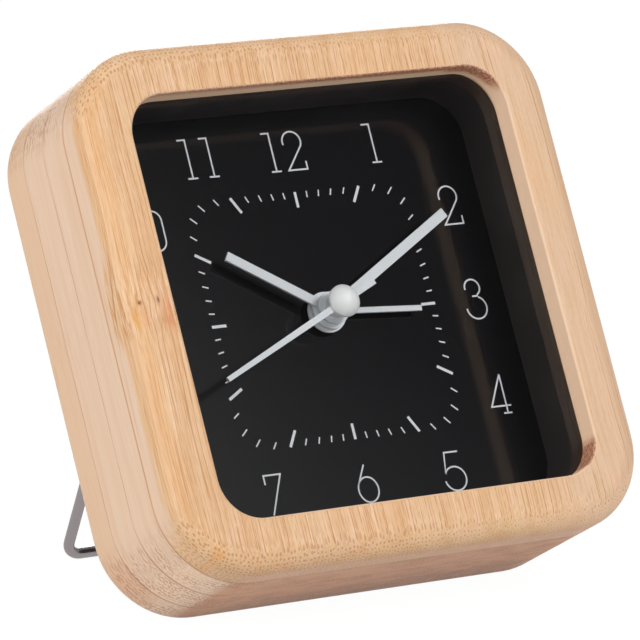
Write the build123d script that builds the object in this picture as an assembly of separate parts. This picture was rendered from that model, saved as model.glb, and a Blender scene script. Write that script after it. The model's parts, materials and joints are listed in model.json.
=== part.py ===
from build123d import *
import os
from math import acos, atan2, cos, degrees, pi, radians, sin, sqrt, tan

# A square bamboo alarm clock that leans back on a folding wire stand.
# Lengths are in millimetres. Every piece is drawn in the case's own frame: X to the right, Y from the
# front face towards the back, Z up along the case, with the origin at the middle of the front face.
# The last step leans the whole clock back and sets it down on the table.

# Case: its width and depth are worked out below, from what it has to hold
rail_width = 9.25
case_corner = 15.4
front_round = 3.9
rear_round = 3.5
window_corner = 7.5
window_ease = 0.5
lens_seat = 4.3
lens_lip = 1.1
pocket_corner = 9.0
cover_ledge = 3.65
cover_corner = 11.4
overrun = 1.0

# How the clock stands
lean = 27.4
stand_open = 54.3

# Lens, spacer and dial
slack = 0.15
lens_thickness = 1.5
spacer_wall = 1.0
hand_room = 10.8
dial_thickness = 0.5
dial_hole = 3.0

# Back cover, its battery door and its screws
cover_thickness = 2.0
door_thickness = 1.4
door_gap = 0.2
door_ledge = 1.0
door_grip_radius = 5.0
door_grip_depth = 0.7
door_pin_radius = 0.45
door_pin_length = 0.9
well_radius = 7.0
well_depth = 1.0
cover_screw_head = 1.55
cover_screw_head_height = 1.0
cover_screw_shank = 0.8
cover_screw_length = 8.0
screw_slot = 0.45
screw_slot_depth = 0.5
sound_slots = 5
sound_slot_width = 1.0
sound_slot_length = 11.0
sound_slot_pitch = 2.4

# Wire stand and its lugs
wire = 2.0
stand_half_width = 30.5
stand_bend = 3.0
top_bend = 2.0
pivot_rise = 2.9
pivot_standoff = 2.0
pin_reach = 8.0
tail_length = 5.0
tail_bend = 1.6
lug_width = 3.4
lug_radius = 2.0
pad_width = 3.0

# Battery, its bay and its contacts
battery_radius = 7.1
battery_length = 50.5
battery_nub = 1.0
battery_nub_radius = 2.75
battery_edge = 0.6
contact_room = 3.55
bay_clear = 0.4
bay_floor_clear = 0.1
contact_thickness = 0.4
contact_width = 8.0
contact_boss_radius = 2.2

# Movement housing
housing_top = 26.0
housing_clear = 3.65
housing_corner = 3.0
housing_wall = 1.2
housing_floor = 0.6
post_radius = 2.2
post_inset = 3.4
movement_screw_shank = 0.8
movement_screw_head = 1.5
movement_screw_head_height = 0.9
movement_screw_bite = 3.0

# Running fits and the stack of wheels
fit = 0.05
wheel_thickness = 0.8
wheel_gap = 0.35

# Teeth
pressure_angle = 20.0
addendum_share = 0.85
dedendum_share = 1.15
tooth_width_share = 0.42
fine_teeth = 20

# Motion works: the minute hand's pinion turns the hour hand at a twelfth of its speed
motion_module = 0.3
cannon_teeth = 10
minute_wheel_teeth = 30
minute_pinion_teeth = 8
hour_wheel_teeth = 32
time_pinion_teeth = 12
alarm_wheel_teeth = 60
alarm_pinion_teeth = 10

# Going train: the rotor steps the second hand, whose pinion turns the centre wheel once an hour
train_module = 0.25
rotor_pinion_teeth = 6
step_wheel_teeth = 30
step_pinion_teeth = 8
second_wheel_teeth = 48
third_module = 0.2
second_pinion_teeth = 8
third_wheel_teeth = 60
third_pinion_teeth = 8
centre_wheel_teeth = 64
third_direction = 90.0
step_direction = -50.0

# Arbors and tubes, from the inside out
second_arbor = 0.5
cannon_outer = 1.05
hour_outer = 1.7
alarm_outer = 2.4
small_arbor = 0.4
minute_stud = 0.5
knob_shaft = 1.2

# Motor
magnet_radius = 2.5
magnet_length = 2.0
stator_gap = 0.4
stator_ring = 1.0
stator_bar = 2.0
coil_drop = 6.69
coil_radius = 1.8
coil_clear = 1.0
post_clear = 0.7
coil_flange = 0.8
coil_tube_wall = 0.4

# Sounder and electronics
buzzer_radius = 8.0
buzzer_height = 4.2
buzzer_side_inset = 10.8
buzzer_top_inset = 12.8
buzzer_hole = 1.5
buzzer_rim = 0.6
board_width = 34.0
board_height = 14.0
board_thickness = 0.8
board_edge = 1.3
chip_radius = 2.8
chip_height = 1.2
chip_left = 11.0
crystal_radius = 1.0
crystal_length = 6.0
crystal_right = 11.0
crystal_drop = 4.0

# Alarm switch
switch_offset = 2.0
switch_length = 12.0
switch_width = 6.0
switch_height = 2.0
switch_clear = 0.75
switch_travel = 4.0
slider_length = 4.0
slider_width = 3.0
slider_proud = 1.4
slider_ribs = 3
slider_rib_width = 0.5
slider_rib_height = 0.4

# Knobs
knob_radius = 6.0
knob_height = 5.0
knob_flutes = 16
knob_flute_radius = 0.9
knob_dish_radius = 4.0
knob_dish_depth = 0.6

# Hands: how far each front face stands in front of the dial, its reach, its width and where it points,
# clockwise from twelve in degrees
hand_thickness = 0.5
collet_thickness = 0.9
alarm_rise = 2.2
alarm_reach = 19.1
alarm_width = 1.0
alarm_points = 94.0
alarm_collet_radius = 3.75
hour_rise = 3.3
hour_reach = 21.6
hour_width = 1.7
hour_points = 303.0
hour_collet_radius = 3.4
minute_rise = 4.9
minute_reach = 30.9
minute_width = 1.85
minute_points = 61.0
minute_collet_radius = 3.0
second_rise = 7.9
second_reach = 28.9
second_width = 1.25
second_tip_width = 0.9
second_tail = 7.9
second_pipe = 1.1
second_pipe_gap = 0.4
second_points = 246.6
cap_radius = 2.95
cap_height = 2.4
cap_rim = 0.5

# Depths worked out from the stack
lens_back = lens_seat + lens_thickness
dial_face = lens_back + hand_room
dial_back = dial_face + dial_thickness
floor_back = dial_back + housing_floor
layer_pitch = wheel_thickness + wheel_gap
ALARM, MOTION, CANNON, PLATE, CENTRE, THIRD, SECOND, STEP, REAR = range(9)


def layer(number):
    """Front and back depths of one layer of the wheel stack; layer 0 lies next to the housing's floor."""
    front = floor_back + wheel_gap + number * layer_pitch
    return front, front + wheel_thickness


plate_front, plate_back = layer(PLATE)
rear_front, rear_back = layer(REAR)
board_back = rear_back + board_thickness
battery_depth = floor_back + bay_floor_clear + battery_radius
# The cover closes over whichever stands further back: the battery under its door or the alarm switch.
battery_needs = battery_depth + battery_radius + door_gap + door_thickness
switch_needs = board_back + switch_height + switch_clear + cover_thickness
case_depth = max(battery_needs, switch_needs)
cover_front = case_depth - cover_thickness
door_front = case_depth - door_thickness


def along(direction, distance, start=(0, 0)):
    """The point at a distance from start, in a direction measured from +X towards +Z in degrees."""
    angle = radians(direction)
    return start[0] + distance * cos(angle), start[1] + distance * sin(angle)


def bearing(start, end):
    """The direction from start to end, from +X towards +Z in degrees."""
    return degrees(atan2(end[1] - start[1], end[0] - start[0]))


# Places in the plane of the dial, worked out from the teeth
middle = (0, 0)
motion_distance = motion_module * (cannon_teeth + minute_wheel_teeth) / 2
time_distance = motion_module * (minute_wheel_teeth + time_pinion_teeth) / 2
alarm_distance = motion_module * (alarm_wheel_teeth + alarm_pinion_teeth) / 2
third_distance = third_module * (second_pinion_teeth + third_wheel_teeth) / 2
centre_module = 2 * third_distance / (third_pinion_teeth + centre_wheel_teeth)
step_distance = train_module * (second_wheel_teeth + step_pinion_teeth) / 2
rotor_distance = train_module * (step_wheel_teeth + rotor_pinion_teeth) / 2
alarm_place = (alarm_distance, 0)
time_place = (-alarm_distance, 0)
third_place = along(third_direction, third_distance)
step_place = along(step_direction, step_distance)
rotor_place = along(step_direction, rotor_distance, step_place)
# The minute wheel meshes with the cannon pinion and with the setting pinion, so its place closes a triangle.
minute_bend = acos(
    (motion_distance**2 + alarm_distance**2 - time_distance**2) / (2 * motion_distance * alarm_distance))
minute_place = (-motion_distance * cos(minute_bend), motion_distance * sin(minute_bend))

# Housing: the chamber reaches down past the coil, and the battery bay lies below it
coil_rise = rotor_place[1] - coil_drop
chamber_half = battery_length / 2 + contact_room
chamber_top = housing_top - housing_wall
chamber_bottom = coil_rise - coil_radius - coil_clear
bay_half = battery_radius + bay_clear
partition_bottom = chamber_bottom - housing_wall
battery_rise = partition_bottom - bay_half
bay_bottom = battery_rise - bay_half
housing_half = chamber_half + housing_wall
housing_bottom = bay_bottom - housing_wall
post_rise_places = (chamber_top - post_inset, chamber_bottom + post_inset)
post_places = [(side * (chamber_half - post_inset), rise) for side in (-1, 1) for rise in post_rise_places]

# The case closes round the housing: pocket, window, cover and rails
pocket_half = housing_clear - housing_bottom
window_half = pocket_half - lens_lip
case_half = window_half + rail_width
cover_half = pocket_half + cover_ledge

# Parts that keep their distance from the chamber's walls
coil_right = chamber_half - post_inset - post_radius - post_clear - stator_bar
coil_left = rotor_place[0]
buzzer_place = (chamber_half - buzzer_side_inset, chamber_top - buzzer_top_inset)
board_rise = chamber_top - board_edge - board_height / 2
switch_rise = board_rise + switch_offset

# Battery door: a little wider and higher than the bay's mouth
door_half_width = chamber_half - housing_wall
door_half_height = bay_half + door_ledge
door_bottom = battery_rise - door_half_height
door_hinge = (case_depth - door_thickness / 2, door_bottom + door_thickness / 2)

# Wire stand: the legs are as long as it takes for the crossbar to reach the table
wire_radius = wire / 2
pivot_depth = case_depth + pivot_standoff
pin_end = stand_half_width - pin_reach
lug_middle = (stand_half_width - top_bend + pin_end + tail_bend) / 2
tilt_sin, tilt_cos = sin(radians(lean)), cos(radians(lean))


def leaned(depth, rise):
    """Where a depth and a rise in the case's frame end up after leaning back: distance back and height."""
    return depth * tilt_cos + rise * tilt_sin, rise * tilt_cos - depth * tilt_sin


table = leaned(case_depth - rear_round, rear_round - case_half)[1] - rear_round
pivot_height = leaned(pivot_depth, pivot_rise)[1] - table
leg_length = (pivot_height - wire_radius) / cos(radians(stand_open - lean))
foot_depth = pivot_depth + leg_length * sin(radians(stand_open))
foot_rise = pivot_rise - leg_length * cos(radians(stand_open))
furthest_back = leaned(foot_depth, foot_rise)[0] + wire_radius
furthest_front = leaned(front_round, front_round - case_half)[0] - front_round
centre_back = (furthest_back + furthest_front) / 2


def at_depth(depth):
    """The sketch plane at a depth behind the front face, as seen from the front."""
    return Plane(origin=(0, depth, 0), x_dir=(1, 0, 0), z_dir=(0, -1, 0))


def prism(outline, front, back):
    """An outline carried from one depth to another."""
    return extrude(at_depth(back) * outline, amount=back - front)


def disc(radius, front, back, place=middle):
    return prism(Pos(*place) * Circle(radius), front, back)


def square(half_width, corner):
    return RectangleRounded(2 * half_width, 2 * half_width, corner)


def rectangle(left, right, bottom, top):
    return Pos((left + right) / 2, (bottom + top) / 2) * Rectangle(right - left, top - bottom)


def rounded_rectangle(left, right, bottom, top, corner):
    centred = RectangleRounded(right - left, top - bottom, corner)
    return Pos((left + right) / 2, (bottom + top) / 2) * centred


def crosswise(outline, left, right, depth, rise):
    """An outline carried from left to right along X, centred on a depth and a rise."""
    return extrude(Plane(origin=(left, depth, rise), x_dir=(0, 1, 0), z_dir=(1, 0, 0)) * outline,
                   amount=right - left)


def crosswise_at(middle_x, width, outline):
    """An outline of depths and rises carried across a width along X."""
    return crosswise(outline, middle_x - width / 2, middle_x + width / 2, 0, 0)


def corner_reach(half_width, corner):
    """How far out, along X or Z, the middle of a rounded corner lies."""
    return half_width - corner * (1 - sqrt(1 / 2))


def edges_at(shape, depth):
    """The edges of a piece that lie flat at one depth."""
    return shape.edges().filter_by_position(Axis.Y, depth - fit, depth + fit)


# Teeth

def involute(angle):
    return tan(angle) - angle


def toothed(teeth, module, phase):
    """A spur wheel's outline with involute flanks; phase is the direction of one tooth in degrees."""
    pitch_radius = teeth * module / 2
    pressure = radians(pressure_angle)
    base_radius = pitch_radius * cos(pressure)
    root_radius = pitch_radius - dedendum_share * module
    tip_radius = pitch_radius + addendum_share * module

    def half_angle(radius):
        flank = acos(min(1, base_radius / radius))
        return pi * tooth_width_share / teeth + involute(pressure) - involute(flank)

    levels = [root_radius, tip_radius]
    if teeth < fine_teeth:
        levels.insert(1, max(root_radius, pitch_radius - addendum_share * module / 2))
        levels.insert(2, pitch_radius + addendum_share * module / 2)
    flank = [(radius, half_angle(radius)) for radius in levels]
    tooth = [(radius, -half) for radius, half in flank] + [(radius, half) for radius, half in reversed(flank)]
    points = []
    for number in range(teeth):
        direction = radians(phase) + 2 * pi * number / teeth
        points += [(radius * cos(direction + turn), radius * sin(direction + turn)) for radius, turn in tooth]
    return Polygon(*points, align=None)


def meshing(teeth, phase, direction, other_teeth):
    """The phase that puts another wheel, in a direction from this one, in mesh with it."""
    half_turn = degrees(pi)
    return direction + half_turn + (direction - phase) * teeth / other_teeth + half_turn / other_teeth


def wheel(teeth, module, phase, place, number, bore):
    """A toothed wheel in one layer of the stack."""
    return prism(Pos(*place) * (toothed(teeth, module, phase) - Circle(bore)), *layer(number))


# Phases, from the pinion of each train outwards
minute_phase = meshing(cannon_teeth, 0, bearing(middle, minute_place), minute_wheel_teeth)
hour_phase = meshing(minute_pinion_teeth, 0, bearing(minute_place, middle), hour_wheel_teeth)
time_phase = meshing(minute_wheel_teeth, minute_phase, bearing(minute_place, time_place), time_pinion_teeth)
alarm_phase = meshing(alarm_wheel_teeth, 0, bearing(middle, alarm_place), alarm_pinion_teeth)
third_phase = meshing(second_pinion_teeth, 0, third_direction, third_wheel_teeth)
centre_phase = meshing(third_pinion_teeth, 0, bearing(third_place, middle), centre_wheel_teeth)
step_phase = meshing(second_wheel_teeth, 0, step_direction, step_pinion_teeth)
rotor_phase = meshing(step_wheel_teeth, 0, step_direction, rotor_pinion_teeth)


# Case, lens, spacer and dial

def case_block():
    block = prism(square(case_half, case_corner), 0, case_depth)
    block = fillet(edges_at(block, 0), front_round)
    block = fillet(edges_at(block, case_depth), rear_round)
    block -= prism(square(window_half, window_corner), -overrun, lens_seat + overrun)
    block = fillet(edges_at(block, 0).filter_by(in_window), window_ease)
    block -= prism(square(pocket_half, pocket_corner), lens_seat, case_depth + overrun)
    block -= prism(square(cover_half, cover_corner), cover_front, case_depth + overrun)
    for place in cover_screw_places():
        block -= disc(cover_screw_shank, cover_front - cover_screw_length, cover_front + overrun, place)
    return block


def in_window(edge):
    box = edge.bounding_box()
    reach = max(abs(box.min.X), abs(box.max.X), abs(box.min.Z), abs(box.max.Z))
    return reach < window_half + fit


def cover_screw_places():
    """The screws go in on the diagonals, halfway between the pocket's corner and the cover's."""
    inner = corner_reach(pocket_half, pocket_corner)
    outer = corner_reach(cover_half - slack, cover_corner - slack)
    reach = (inner + outer) / 2
    return [(side * reach, rise * reach) for side in (-1, 1) for rise in (-1, 1)]


def lens_pane():
    return prism(square(pocket_half - slack, pocket_corner - slack), lens_seat, lens_back)


def dial_spacer():
    ring = square(pocket_half - slack, pocket_corner - slack)
    ring -= square(pocket_half - slack - spacer_wall, pocket_corner - slack - spacer_wall)
    return prism(ring, lens_back, dial_face)


def dial_plate():
    return prism(square(pocket_half - slack, pocket_corner - slack) - Circle(dial_hole), dial_face, dial_back)


# Back cover and what is on it

def lug():
    """One lug of the stand, standing on the cover's outer face round the pivot."""
    foot = rectangle(case_depth, pivot_depth, pivot_rise - lug_radius, pivot_rise + lug_radius)
    outline = foot + Pos(pivot_depth, pivot_rise) * Circle(lug_radius)
    outline -= Pos(pivot_depth, pivot_rise) * Circle(wire_radius + fit)
    return outline


def back_cover():
    cover = prism(square(cover_half - slack, cover_corner - slack), cover_front, case_depth)
    pad = rectangle(case_depth - slack, pivot_depth - wire_radius,
                    pivot_rise + tail_bend + wire_radius, pivot_rise + tail_length)
    for side in (-1, 1):
        cover += crosswise_at(side * lug_middle, lug_width, lug())
        cover += crosswise_at(side * pin_end, pad_width, pad)
    for place in cover_screw_places():
        cover -= disc(cover_screw_shank + fit, cover_front - overrun, case_depth + overrun, place)
        cover -= disc(cover_screw_head + fit, case_depth - cover_screw_head_height, case_depth + overrun, place)
    for place in (alarm_place, time_place):
        cover -= disc(knob_shaft + fit, cover_front - overrun, case_depth + overrun, place)
        cover -= disc(well_radius, case_depth - well_depth, case_depth + overrun, place)
    cover -= door_opening()
    cover -= prism(switch_slot(), cover_front - overrun, case_depth + overrun)
    for number in range(sound_slots):
        offset = (number - (sound_slots - 1) / 2) * sound_slot_pitch
        slot = Pos(buzzer_place[0] + offset, buzzer_place[1]) * SlotOverall(
            sound_slot_length, sound_slot_width, rotation=90)
        cover -= prism(slot, cover_front - overrun, case_depth + overrun)
    return cover


def door_opening():
    recess = rectangle(-door_half_width - door_gap, door_half_width + door_gap,
                       door_bottom - door_gap, door_bottom + 2 * door_half_height + door_gap)
    opening = prism(recess, door_front - door_gap, case_depth + overrun)
    mouth = rectangle(door_ledge - door_half_width, door_half_width - door_ledge, bay_bottom, partition_bottom)
    opening += prism(mouth, cover_front - overrun, case_depth + overrun)
    reach = door_half_width + door_pin_length + door_gap
    opening += crosswise(Circle(door_pin_radius + fit), -reach, reach, *door_hinge)
    return opening


def battery_door():
    """The door turns on pins at its lower edge, which is rounded about them."""
    door = prism(rectangle(-door_half_width, door_half_width, door_hinge[1], door_bottom + 2 * door_half_height),
                 door_front, case_depth)
    door += crosswise(Circle(door_thickness / 2), -door_half_width, door_half_width, *door_hinge)
    reach = door_half_width + door_pin_length
    door += crosswise(Circle(door_pin_radius), -reach, reach, *door_hinge)
    grip_rise = door_bottom + 2 * door_half_height - door_grip_radius
    grip = Pos(0, grip_rise) * (Circle(door_grip_radius) - rectangle(
        -door_grip_radius, door_grip_radius, -door_grip_radius, 0))
    door -= prism(grip, case_depth - door_grip_depth, case_depth + overrun)
    return door


def screw(place, head_radius, head_front, head_height, shank_radius, shank_front):
    body = disc(head_radius, head_front, head_front + head_height, place)
    body += disc(shank_radius, shank_front, head_front, place)
    cut = prism(Pos(*place) * Rectangle(2 * head_radius + overrun, screw_slot),
                head_front + head_height - screw_slot_depth, head_front + head_height + overrun)
    return body - cut


def cover_screws():
    head_front = case_depth - cover_screw_head_height
    return Compound([screw(place, cover_screw_head, head_front, cover_screw_head_height, cover_screw_shank,
                           cover_front - cover_screw_length + slack) for place in cover_screw_places()])


def wire_stand():
    """One bent wire: two legs, a crossbar, two pins through the lugs and two short tails that stop it."""
    leg = Vector(0, sin(radians(stand_open)), -cos(radians(stand_open))) * leg_length
    pivot = Vector(0, pivot_depth, pivot_rise)
    right = [pivot + Vector(pin_end, 0, tail_length), pivot + Vector(pin_end, 0, 0),
             pivot + Vector(stand_half_width, 0, 0), pivot + Vector(stand_half_width, 0, 0) + leg]
    left = [Vector(-point.X, point.Y, point.Z) for point in reversed(right)]
    radii = [tail_bend, top_bend, stand_bend, stand_bend, top_bend, tail_bend]
    path = FilletPolyline(*right, *left, radius=radii)
    start = Plane(origin=path @ 0, z_dir=path % 0)
    return sweep(start * Circle(wire_radius), path=path)


# Movement housing, plates and screws

def movement_housing():
    outer = rounded_rectangle(-housing_half, housing_half, housing_bottom, housing_top, housing_corner)
    housing = prism(outer, dial_back, cover_front)
    inner_corner = housing_corner - housing_wall
    chamber = rounded_rectangle(-chamber_half, chamber_half, chamber_bottom, chamber_top, inner_corner)
    bay = rounded_rectangle(-chamber_half, chamber_half, bay_bottom, partition_bottom, inner_corner)
    for hollow in (chamber, bay):
        housing -= prism(hollow, floor_back, cover_front + overrun)
    for place in post_places:
        housing += disc(post_radius, floor_back, plate_front, place)
        housing -= disc(movement_screw_shank, plate_front - movement_screw_bite, plate_front, place)
    housing -= disc(alarm_outer + fit, dial_back - overrun, floor_back + overrun)
    return housing


def plate_outline():
    return rounded_rectangle(slack - chamber_half, chamber_half - slack, chamber_bottom + slack,
                             chamber_top - slack, housing_corner - housing_wall)


def shaft_holes(front, back):
    """Holes through a plate for the two knobs' shafts, the movement's screws and the small arbors."""
    holes = [disc(knob_shaft + fit, front - overrun, back + overrun, place)
             for place in (alarm_place, time_place)]
    holes += [disc(movement_screw_shank + fit, front - overrun, back + overrun, place) for place in post_places]
    holes += [disc(small_arbor + fit, front - overrun, back + overrun, place)
              for place in (third_place, step_place, rotor_place)]
    return holes


def middle_plate():
    plate = prism(plate_outline(), plate_front, plate_back)
    for hole in shaft_holes(plate_front, plate_back):
        plate -= hole
    plate -= disc(cannon_outer + fit, plate_front - overrun, plate_back + overrun)
    plate += disc(minute_stud, layer(MOTION)[0], plate_front, minute_place)
    return plate


def rear_plate():
    plate = prism(plate_outline(), rear_front, rear_back)
    for place in post_places:
        plate += disc(post_radius, plate_back, rear_front, place)
    for hole in shaft_holes(plate_back, rear_back):
        plate -= hole
    plate -= disc(second_arbor + fit, rear_front - overrun, rear_back + overrun)
    return plate


def movement_screws():
    return Compound([screw(place, movement_screw_head, rear_back, movement_screw_head_height,
                           movement_screw_shank, plate_front - movement_screw_bite) for place in post_places])


# Wheels

def cannon_pinion():
    tube = disc(cannon_outer, dial_face - minute_rise, layer(CENTRE)[1])
    pinion = prism(toothed(cannon_teeth, motion_module, 0), *layer(CANNON))
    return tube + pinion - disc(second_arbor + fit, dial_face - second_rise, layer(CENTRE)[1] + overrun)


def tubed_wheel(teeth, module, phase, number, tube_radius, bore, tube_front):
    """A wheel whose tube runs forward through the dial."""
    whole = prism(toothed(teeth, module, phase), *layer(number))
    whole += disc(tube_radius, tube_front, layer(number)[1])
    return whole - disc(bore, tube_front - overrun, layer(number)[1] + overrun)


def hour_wheel():
    return tubed_wheel(hour_wheel_teeth, motion_module, hour_phase, MOTION, hour_outer, cannon_outer + fit,
                       dial_face - hour_rise)


def alarm_wheel():
    return tubed_wheel(alarm_wheel_teeth, motion_module, 0, ALARM, alarm_outer, hour_outer + fit,
                       dial_face - alarm_rise)


def minute_wheel():
    whole = prism(Pos(*minute_place) * toothed(minute_pinion_teeth, motion_module, 0),
                  layer(MOTION)[0], layer(CANNON)[0])
    whole += prism(Pos(*minute_place) * toothed(minute_wheel_teeth, motion_module, minute_phase), *layer(CANNON))
    return whole - disc(minute_stud + fit, layer(MOTION)[0] - overrun, layer(CANNON)[1] + overrun, minute_place)


def centre_wheel():
    """It drives the cannon pinion's tube by friction, so that the hands can be set."""
    return wheel(centre_wheel_teeth, centre_module, centre_phase, middle, CENTRE, cannon_outer + fit)


def arbored(place, wheels, front, back):
    """Wheels on one arbor; each is (teeth, module, phase, first layer, last layer)."""
    whole = disc(small_arbor, front, back, place)
    for teeth, module, phase, first, last in wheels:
        whole += prism(Pos(*place) * toothed(teeth, module, phase), layer(first)[0], layer(last)[1])
    return whole


def third_wheel():
    return arbored(third_place, [(third_pinion_teeth, centre_module, 0, CENTRE, CENTRE),
                                 (third_wheel_teeth, third_module, third_phase, THIRD, THIRD)],
                   plate_front, rear_back)


def step_wheel():
    return arbored(step_place, [(step_pinion_teeth, train_module, step_phase, SECOND, SECOND),
                                (step_wheel_teeth, train_module, 0, STEP, STEP)], plate_front, rear_back)


def rotor_pinion():
    return arbored(rotor_place, [(rotor_pinion_teeth, train_module, rotor_phase, STEP, STEP)],
                   plate_front, rear_back)


def rotor_magnet():
    front = (layer(THIRD)[0] + layer(THIRD)[1] - magnet_length) / 2
    return disc(magnet_radius, front, front + magnet_length, rotor_place) - disc(
        small_arbor, front - overrun, front + magnet_length + overrun, rotor_place)


def second_wheel():
    whole = disc(second_arbor, dial_face - second_rise, rear_back)
    whole += prism(toothed(second_pinion_teeth, third_module, 0), *layer(THIRD))
    return whole + prism(toothed(second_wheel_teeth, train_module, 0), *layer(SECOND))


# Knobs and their shafts

def time_shaft():
    whole = disc(knob_shaft, layer(CANNON)[0], case_depth + knob_height - knob_dish_depth, time_place)
    return whole + prism(Pos(*time_place) * toothed(time_pinion_teeth, motion_module, time_phase), *layer(CANNON))


def alarm_shaft():
    whole = disc(knob_shaft, layer(MOTION)[0], case_depth + knob_height - knob_dish_depth, alarm_place)
    return whole + prism(Pos(*alarm_place) * toothed(alarm_pinion_teeth, motion_module, alarm_phase),
                         layer(ALARM)[0], layer(MOTION)[0])


def knob(place):
    front = case_depth - well_depth + door_gap
    back = case_depth + knob_height
    outline = Circle(knob_radius)
    for number in range(knob_flutes):
        outline -= Pos(*along(number * 2 * degrees(pi) / knob_flutes, knob_radius + knob_flute_radius / 2)) * Circle(
            knob_flute_radius)
    body = prism(Pos(*place) * outline, front, back)
    body -= disc(knob_dish_radius, back - knob_dish_depth, back + overrun, place)
    return body - disc(knob_shaft, front - overrun, back, place)


# Motor, sounder and electronics

coil_depth = (layer(THIRD)[0] + layer(THIRD)[1]) / 2


def stator():
    """A soft iron plate round the rotor whose lower bar carries the coil."""
    ring = Pos(*rotor_place) * Circle(magnet_radius + stator_gap + stator_ring)
    half = stator_bar / 2
    right = coil_right + stator_bar
    left = coil_left - stator_bar
    upper = rectangle(rotor_place[0], right, rotor_place[1] - half, rotor_place[1] + half)
    lower = rectangle(left, right, coil_rise - half, coil_rise + half)
    right_leg = rectangle(coil_right, right, coil_rise, rotor_place[1])
    left_leg = rectangle(left, left + stator_bar, coil_rise, rotor_place[1] - magnet_radius - stator_gap)
    outline = ring + upper + lower + right_leg + left_leg
    outline -= Pos(*rotor_place) * Circle(magnet_radius + stator_gap)
    return prism(outline, *layer(THIRD))


def coil_bobbin():
    left = coil_left
    core = Rectangle(wheel_thickness, stator_bar)
    bobbin = crosswise(Rectangle(2 * coil_radius, 2 * coil_radius), left, left + coil_flange, coil_depth, coil_rise)
    bobbin += crosswise(Rectangle(2 * coil_radius, 2 * coil_radius), coil_right - coil_flange, coil_right,
                        coil_depth, coil_rise)
    bobbin += crosswise(offset(core, coil_tube_wall, kind=Kind.INTERSECTION), left, coil_right,
                        coil_depth, coil_rise)
    return bobbin - crosswise(core, left - overrun, coil_right + overrun, coil_depth, coil_rise)


def coil_winding():
    left = coil_left + coil_flange
    right = coil_right - coil_flange
    core = offset(Rectangle(wheel_thickness, stator_bar), coil_tube_wall, kind=Kind.INTERSECTION)
    return crosswise(Circle(coil_radius - slack) - core, left, right, coil_depth, coil_rise)


def buzzer():
    body = disc(buzzer_radius, plate_back, plate_back + buzzer_height, buzzer_place)
    body -= disc(buzzer_radius - buzzer_rim, plate_back + buzzer_height - buzzer_rim,
                 plate_back + buzzer_height + overrun, buzzer_place)
    return body - disc(buzzer_hole, plate_back + buzzer_height - 2 * buzzer_rim,
                       plate_back + buzzer_height, buzzer_place)


def circuit_board():
    return prism(Pos(0, board_rise) * Rectangle(board_width, board_height), rear_back, board_back)


def chip():
    """The sealed chip is a low dome of resin on the board."""
    place = (-chip_left, board_rise)
    sphere_radius = (chip_radius**2 + chip_height**2) / (2 * chip_height)
    ball = Pos(place[0], board_back + chip_height - sphere_radius, place[1]) * Sphere(sphere_radius)
    return ball & disc(chip_radius, board_back, board_back + chip_height, place)


def quartz_crystal():
    left = crystal_right - crystal_length / 2
    return crosswise(Circle(crystal_radius), left, left + crystal_length, board_back + crystal_radius,
                     board_rise - crystal_drop)


# Alarm switch

def switch_slot():
    return Pos(0, switch_rise) * Rectangle(slider_length + switch_travel + 2 * fit, slider_width + 2 * fit)


def switch_body():
    body = prism(Pos(0, switch_rise) * Rectangle(switch_length, switch_width), board_back,
                 board_back + switch_height)
    return body - prism(switch_slot(), board_back + switch_height / 2, board_back + switch_height + overrun)


def alarm_slider():
    """At rest the slider stands at the left end of its slot, with the alarm off."""
    place = (-switch_travel / 2, switch_rise)
    top = case_depth + slider_proud
    slider = prism(Pos(*place) * Rectangle(slider_length, slider_width), board_back + switch_height / 2 + fit, top)
    for number in range(slider_ribs):
        offset_x = (number - (slider_ribs - 1) / 2) * slider_length / slider_ribs
        slider += prism(Pos(place[0] + offset_x, place[1]) * Rectangle(slider_rib_width, slider_width),
                        top, top + slider_rib_height)
    return slider


# Battery and contacts

def battery():
    left = -battery_length / 2
    nub_start = battery_length / 2 - battery_nub
    cell = crosswise(Circle(battery_radius), left, nub_start, battery_depth, battery_rise)
    cell = chamfer(cell.edges().filter_by(GeomType.CIRCLE), battery_edge)
    return cell + crosswise(Circle(battery_nub_radius), nub_start, battery_length / 2, battery_depth, battery_rise)


def contact_plate(left, right):
    plate = crosswise(Rectangle(cover_front - floor_back, contact_width), left, right,
                      (cover_front + floor_back) / 2, battery_rise)
    return plate


def contact_plus():
    wall = chamber_half - contact_thickness
    boss = crosswise(Circle(contact_boss_radius), battery_length / 2, wall, battery_depth, battery_rise)
    return contact_plate(wall, chamber_half) + boss


def contact_minus():
    """A bent leaf that springs between the bay's wall and the battery's flat end."""
    leaf_half = contact_thickness / 2
    tip = -battery_length / 2
    wall = contact_thickness - chamber_half
    swing = battery_radius * 2 / 3
    outline = Polygon(
        (wall, battery_depth - swing), (tip - contact_thickness, battery_depth - leaf_half),
        (tip - contact_thickness, battery_depth + leaf_half), (wall, battery_depth + swing),
        (wall, battery_depth + swing + contact_thickness), (tip, battery_depth + leaf_half),
        (tip, battery_depth - leaf_half), (wall, battery_depth - swing - contact_thickness), align=None)
    leaf = Pos(0, 0, battery_rise - contact_width / 2) * extrude(
        outline, amount=contact_width, dir=(0, 0, 1))
    return contact_plate(-chamber_half, wall) + leaf


# Hands

def pointing(shape, clock_angle):
    """Turns a hand drawn pointing up so that it points to a clock angle, clockwise from twelve."""
    return Rot(0, clock_angle, 0) * shape


def blade(half_base, half_tip, reach, rise, clock_angle, hub):
    """A flat hand, drawn pointing up, with a hole for what it is pressed on."""
    front = dial_face - rise
    outline = Polygon((-half_base, 0), (half_base, 0), (half_tip, reach), (-half_tip, reach), align=None)
    return pointing(prism(outline + Circle(half_base + hub) - Circle(hub), front, front + hand_thickness),
                    clock_angle)


def collet(radius, bore, rise):
    """The round hub behind a hand."""
    front = dial_face - rise + hand_thickness
    return disc(radius, front, front + collet_thickness - hand_thickness) - disc(
        bore, front - overrun, front + overrun + collet_thickness)


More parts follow.
